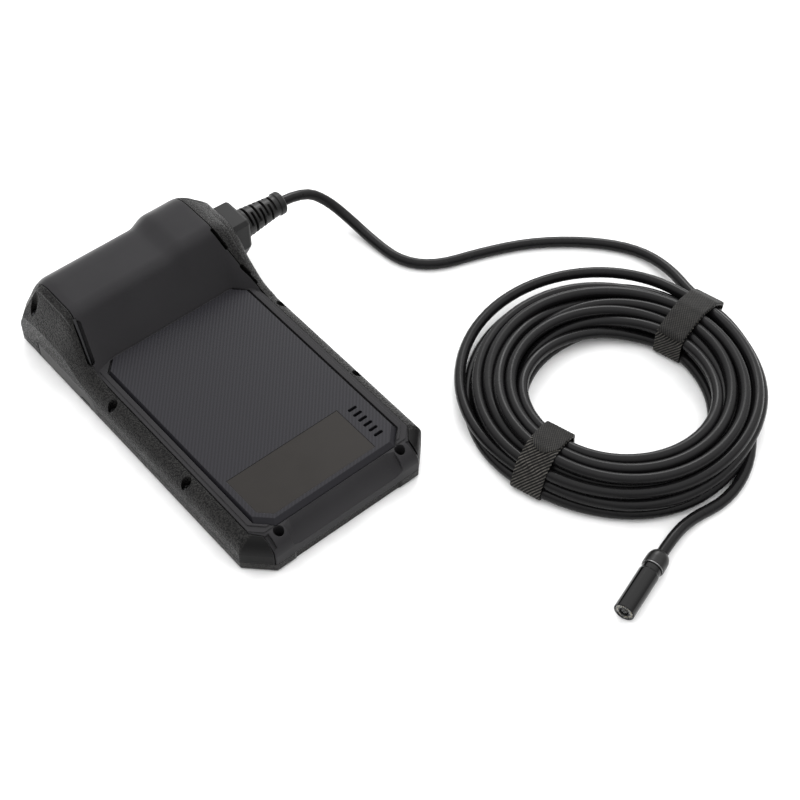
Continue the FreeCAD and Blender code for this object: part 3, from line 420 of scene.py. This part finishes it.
def cells(name, size):
    """0 in the middle of each cell and more at its sides, with cells about size mm across."""
    inputs = {"Vector": place(name), "Scale": 1000 / size}
    return node(name, "ShaderNodeTexVoronoi", inputs, feature="SMOOTH_F1")


def ribs(name, pitch, heading):
    """Straight ribs pitch mm apart that run heading degrees from +X."""
    inputs = {"Vector": place(name, -heading), "Scale": 1000 * math.pi / 10 / pitch}
    return node(name, "ShaderNodeTexWave", inputs, output="Fac", bands_direction="Y")


def coordinate(name, axis):
    point = node(name, "ShaderNodeTexCoord", {}, output="Object")
    return node(name, "ShaderNodeSeparateXYZ", {"Vector": point}, output=axis)


def spread(name, value, low, high, out_low=0.0, out_high=1.0):
    """Stretches low to high of a value to out_low to out_high, smoothly, and holds it there."""
    inputs = {"Value": value, "From Min": low, "From Max": high, "To Min": out_low, "To Max": out_high}
    return node(name, "ShaderNodeMapRange", inputs, interpolation_type="SMOOTHSTEP")


def times(name, first, second):
    return node(name, "ShaderNodeMath", {0: first, 1: second}, operation="MULTIPLY")


def plus(name, first, second):
    return node(name, "ShaderNodeMath", {0: first, 1: second}, operation="ADD")


def between(name, mask, first, second):
    """A colour between two, by a mask."""
    tree = TREES[name]
    made = tree.nodes.new("ShaderNodeMix")
    made.data_type = "RGBA"
    sockets = {socket.identifier: socket for socket in made.inputs}
    for key, value in (("Factor_Float", mask), ("A_Color", first), ("B_Color", second)):
        if isinstance(value, bpy.types.NodeSocket):
            tree.links.new(value, sockets[key])
        else:
            sockets[key].default_value = value if key == "Factor_Float" else (*value, 1)
    return made.outputs[2]


def rounded(name, radius):
    """The surface's normal, softened over its edges."""
    return node(name, "ShaderNodeBevel", {"Radius": radius * MM}, samples=6)


def edges(name, radius):
    """1 along the edges and 0 on open faces."""
    sharp = node(name, "ShaderNodeNewGeometry", {}, output="Normal")
    inputs = {0: rounded(name, radius), 1: sharp}
    along = node(name, "ShaderNodeVectorMath", inputs, output="Value", operation="DOT_PRODUCT")
    return spread(name, along, 0.75, 0.98, 1.0, 0.0)


def relief(name, height, depth, normal=None):
    """The normal of a relief depth mm deep."""
    inputs = {"Height": height, "Distance": depth * MM}
    if normal:
        inputs["Normal"] = normal
    return node(name, "ShaderNodeBump", inputs)


def finish(name, **sockets):
    """Links the worked out colour, rough and normal to the shader."""
    shader = TREES[name].nodes["Principled BSDF"]
    keys = {"colour": "Base Color", "rough": "Roughness", "normal": "Normal"}
    for key, value in sockets.items():
        TREES[name].links.new(value, shader.inputs[keys[key]])


def leather_plastic(name, base, highlight_fleck, cell, depth, smooth_below=None):
    """Moulded plastic with a fine leather grain, its tops smoother and painted lighter as highlight flecks,
    its edges painted lighter as wear and as an edge highlight, plain at the near end.
    """
    material(name, base, 0.38, gloss=0.14)
    tops = spread(name, cells(name, cell), 0.62, 0.2)
    if smooth_below:
        along = coordinate(name, "Y")
        tops = times(name, tops, spread(name, along, smooth_below * MM, (smooth_below + 1) * MM))
    patches = noise(name, 13.0)
    # The grain's tops get the lighter fleck colour: painted highlight flecks.
    light = times(name, tops, spread(name, patches, 0.35, 0.7, 0.7, 1.0))
    tone = between(name, light, base, highlight_fleck)
    # Edges painted lighter: partly wear, partly a painted edge highlight.
    colour = between(name, times(name, edges(name, 0.4), 0.6), tone, EDGE_WEAR_AND_HIGHLIGHT)
    rough = spread(name, plus(name, tops, times(name, patches, 0.4)), 0.2, 1.2, 0.5, 0.3)
    fine = relief(name, noise(name, 0.3), 0.006, rounded(name, 0.4))
    finish(name, colour=colour, rough=rough, normal=relief(name, tops, depth, fine))


def satin_plastic(name, base, rough, grain=0.35, depth=0.004, edge=0.35, gloss=0.5, coat=0.0):
    """Smooth moulded plastic or rubber: a barely seen grain, soft patches of sheen, and edges painted
    lighter as wear and as an edge highlight.
    """
    material(name, base, rough, gloss=gloss, coat=coat)
    patches = noise(name, 22.0, 4.0)
    tone = between(name, patches, [0.85 * c for c in base], [1.15 * c for c in base])
    # Edges painted lighter: partly wear, partly a painted edge highlight.
    colour = between(name, times(name, edges(name, edge), 0.5), tone, [c + 0.03 for c in base])
    sheen = spread(name, patches, 0.3, 0.7, rough - 0.04, rough + 0.05)
    normal = relief(name, noise(name, grain), depth, rounded(name, edge))
    finish(name, colour=colour, rough=sheen, normal=normal)


def ribbed_panel(name, base):
    """The lid's fine diagonal ribs, on its flat top only."""
    material(name, base, 0.38, gloss=0.12)
    flat = spread(name, coordinate(name, "Z"), 17.9 * MM, 18.08 * MM)
    ridge = times(name, ribs(name, 1.28, 49.0), flat)
    patches = noise(name, 26.0)
    tone = between(name, ridge, base, [1.5 * c for c in base])
    # Edges painted lighter: partly wear, partly a painted edge highlight.
    colour = between(name, times(name, edges(name, 0.3), 0.6), tone, EDGE_WEAR_AND_HIGHLIGHT)
    rough = spread(name, plus(name, ridge, patches), 0.2, 1.6, 0.42, 0.32)
    fine = relief(name, noise(name, 0.3), 0.004, rounded(name, 0.3))
    finish(name, colour=colour, rough=rough, normal=relief(name, ridge, 0.02, fine))


def cable_rubber(name, base):
    """Smooth black jacket with a faint satin sheen, handled patches and specks of dust."""
    material(name, base, 0.28, gloss=0.14)
    patches = noise(name, 9.0, 4.0)
    dust = spread(name, noise(name, 0.5), 0.7, 0.8)
    tone = between(name, patches, base, [1.4 * c for c in base])
    colour = between(name, times(name, dust, 0.5), tone, DUST)
    rough = spread(name, patches, 0.3, 0.7, 0.2, 0.32)
    finish(name, colour=colour, rough=rough, normal=relief(name, noise(name, 0.6), 0.006))


def metal(name, base, rough, grain=0.4, depth=0.002):
    """Plain or plated metal with fine scratches in its sheen."""
    material(name, base, rough, metal=1.0)
    marks = noise(name, grain, 5.0)
    colour = between(name, marks, [0.9 * c for c in base], base)
    finish(name, colour=colour, rough=spread(name, marks, 0.2, 0.8, rough - 0.06, rough + 0.06),
           normal=relief(name, marks, depth, rounded(name, 0.15)))


def board(name, base):
    """Lacquered circuit board with a trace pattern under the lacquer."""
    material(name, base, 0.3, coat=0.4)
    grid = times(name, ribs(name, 1.6, 0.0), ribs(name, 1.6, 90.0))
    colour = between(name, spread(name, grid, 0.3, 0.6), base, [1.7 * c for c in base])
    finish(name, colour=colour, normal=relief(name, grid, 0.01))


def threads(name, u, v, pitch, slant):
    """Slanting threads pitch mm apart, broken into short floats, 1 on top of a thread and 0 between."""
    turn = math.radians(slant)
    rates = 2000 * math.pi / pitch
    waves = []
    for a, b, scale in ((math.cos(turn), math.sin(turn), 1.0), (-math.sin(turn), math.cos(turn), 0.5)):
        along = plus(name, times(name, u, a * rates * scale), times(name, v, b * rates * scale))
        waves.append(node(name, "ShaderNodeMath", {0: along}, operation="SINE"))
    return times(name, spread(name, waves[0], 0.0, 0.7), spread(name, waves[1], -1.3, -0.7))


def woven(name, base, thread):
    """Black webbing with slanting threads painted pale as their highlight, finer and darker on the
    overlapping layer.
    """
    material(name, base, 0.55, gloss=0.15)
    spot = node(name, "ShaderNodeUVMap", {}, uv_map="cloth")
    u = node(name, "ShaderNodeSeparateXYZ", {"Vector": spot}, output="X")
    v = node(name, "ShaderNodeSeparateXYZ", {"Vector": spot}, output="Y")
    lap = spread(name, v, 0.49, 0.51)
    coarse = threads(name, u, v, RIB_PITCH, RIB_SLANT)
    fine = times(name, threads(name, u, v, 0.7, -RIB_SLANT), 0.35)
    both = plus(name, times(name, coarse, spread(name, v, 0.49, 0.51, 1.0, 0.0)), times(name, fine, lap))
    # The threads get the pale thread colour, faded by noise: a painted highlight on the weave.
    thread_highlight_mask = times(name, both, spread(name, noise(name, 2.5), 0.3, 0.7, 0.55, 1.0))
    fuzz = relief(name, noise(name, 0.15), 0.03)
    finish(name, colour=between(name, thread_highlight_mask, base, thread), normal=relief(name, both, 0.15, fuzz))


def clear(name, tint, rough=0.03):
    """Clear glass or acrylic."""
    shader = material(name, tint, rough, gloss=0.3)
    shader.inputs["Transmission Weight"].default_value = 1.0
    haze = noise(name, 1.5)
    finish(name, rough=spread(name, haze, 0.3, 0.7, rough, rough + 0.05), normal=relief(name, haze, 0.0005))


leather_plastic(
    "textured_shell", (0.002, 0.0019, 0.002), (0.021, 0.0204, 0.0194), 0.5, 0.15, smooth_below=-71.0,
)
satin_plastic("satin_cover", (0.0215, 0.0208, 0.0222), 0.32, gloss=0.07)
ribbed_panel("lined_panel", (0.011, 0.0106, 0.013))
satin_plastic("label_film", (0.0165, 0.0145, 0.013), 0.3, edge=0.1, gloss=0.11)
leather_plastic("bezel_plastic", (0.008, 0.0078, 0.008), (0.02, 0.019, 0.018), 0.5, 0.06)
satin_plastic("screen_glass", (0.003, 0.003, 0.0035), 0.08, grain=40.0, depth=0.01, coat=1.0)
metal("display_metal", (0.45, 0.45, 0.46), 0.35)
satin_plastic("foam", (0.02, 0.02, 0.02), 0.9, grain=0.5, depth=0.1)
satin_plastic("gasket_rubber", (0.008, 0.008, 0.008), 0.6)
metal("black_steel", (0.05, 0.05, 0.052), 0.35)
satin_plastic("flap_rubber", (0.012, 0.0118, 0.0118), 0.5, grain=0.5, depth=0.01)
metal("steel", (0.55, 0.55, 0.56), 0.28)
board("circuit_board", (0.006, 0.04, 0.016))
board("black_board", (0.004, 0.004, 0.0038))
satin_plastic("key_plastic", (0.02, 0.02, 0.021), 0.34)
satin_plastic("mat_rubber", (0.05, 0.05, 0.052), 0.6)
satin_plastic("black_plastic", (0.012, 0.012, 0.012), 0.42, gloss=0.15)
satin_plastic("cell_sleeve", (0.02, 0.07, 0.22), 0.25, grain=3.0, depth=0.02)
metal("nickel", (0.6, 0.58, 0.53), 0.22)
satin_plastic("mesh_cloth", (0.01, 0.01, 0.01), 0.9, grain=0.3, depth=0.2)
satin_plastic("boot_rubber", (0.008, 0.0078, 0.0078), 0.34, grain=0.5, depth=0.006, gloss=0.22)
cable_rubber("cable_jacket", (0.0045, 0.0043, 0.0046))
woven("strap_webbing", (0.001, 0.001, 0.001), (0.09, 0.084, 0.075))
satin_plastic("probe_metal", (0.003, 0.0029, 0.003), 0.12, grain=1.5, depth=0.001, edge=0.15, gloss=0.22)
metal("bright_ring", (0.16, 0.16, 0.16), 0.25)
satin_plastic("led_white", (0.28, 0.23, 0.12), 0.3, grain=0.4)
clear("clear_window", (0.8, 0.8, 0.77))
clear("lens_glass", (0.3, 0.3, 0.34))


def paint(obj, name):
    obj.data.materials.clear()
    obj.data.materials.append(MADE[name])


# ---- floor and light ----
def make_stage():
    satin_plastic("floor", (0.9, 0.9, 0.9), 0.7, grain=4.0)
    mesh = bpy.data.meshes.new("floor")
    size = 3.0
    corners = [(-size, -size, 0), (size, -size, 0), (size, size, 0), (-size, size, 0)]
    mesh.from_pydata(corners, [], [(0, 1, 2, 3)])
    obj = bpy.data.objects.new("floor", mesh)
    SCENE.collection.objects.link(obj)
    paint(obj, "floor")


# The way to the sky's brightest part, its lowest and highest level, and each lamp's place, power and size.
SKY_BRIGHT = (0.25, 0.2, 0.95)
SKY_LOW, SKY_HIGH = 0.78, 2.3
LAMPS = [("key", (0.9, 0.7, 0.8), 6, 0.5)]


def make_light():
    """A pale studio, brightest overhead and a little behind the object, with one large lamp."""
    world = bpy.data.worlds.new("studio")
    SCENE.world = world
    world.use_nodes = True
    TREES["studio"] = world.node_tree
    heading = node("studio", "ShaderNodeTexCoord", {}, output="Generated")
    inputs = {0: heading, 1: SKY_BRIGHT}
    along = node("studio", "ShaderNodeVectorMath", inputs, output="Value", operation="DOT_PRODUCT")
    level = spread("studio", along, 0.15, 1.0, SKY_LOW, SKY_HIGH)
    background = world.node_tree.nodes["Background"]
    background.inputs["Color"].default_value = (1, 1, 1, 1)
    world.node_tree.links.new(level, background.inputs["Strength"])
    SCENE.view_settings.view_transform = "Standard"
    for name, spot, power, size in LAMPS:
        data = bpy.data.lights.new(name, "AREA")
        data.energy = power
        data.size = size
        lamp = bpy.data.objects.new(name, data)
        lamp.location = spot
        lamp.rotation_euler = (AIM - Vector(spot)).to_track_quat("-Z", "Y").to_euler()
        SCENE.collection.objects.link(lamp)


make_camera()
cable = make_cable()
paint(cable, "cable_jacket")
make_straps(cable)
for part in frame["record"]["subparts"]:
    paint(NODES[part["node"]], part["material_slot"])
make_stage()
make_light()
